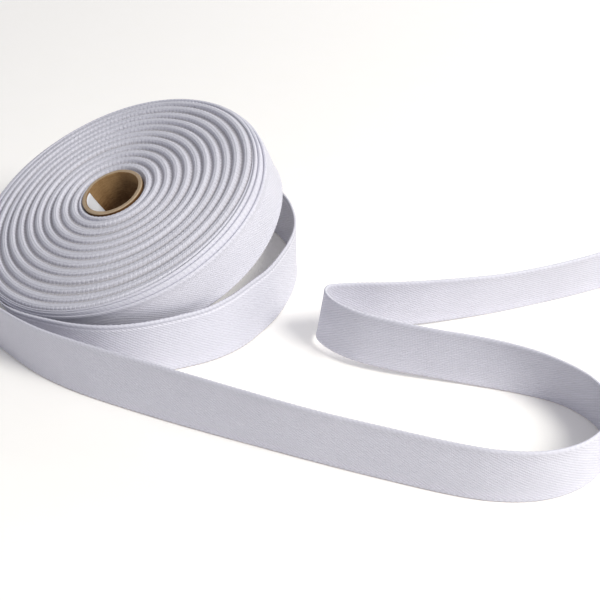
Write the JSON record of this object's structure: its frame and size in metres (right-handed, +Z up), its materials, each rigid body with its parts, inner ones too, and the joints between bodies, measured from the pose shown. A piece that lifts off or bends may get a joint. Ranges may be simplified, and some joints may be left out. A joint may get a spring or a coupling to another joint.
{
  "type": "roll of woven webbing",
  "caption": "Leaning roll of flat white woven webbing on a card core, its outer turn slipped down around it and its loose end laid on edge in long bends.",
  "frame": {"origin": "centre of the bounding box at floor level", "axes": "+Z up from the floor, +X along the loose front run away from the roll, -Y towards the viewer of the picture"},
  "size_m": [0.311, 0.2624, 0.0798],
  "materials": {
    "web": "smooth satin weave",
    "core": "matte brown board",
    "label": "plain white paper"
  },
  "bodies": {
    "root": {"wound_roll": "web", "loose_end": "web", "core_tube": "core", "core_label": "label"}
  },
  "joints": []
}
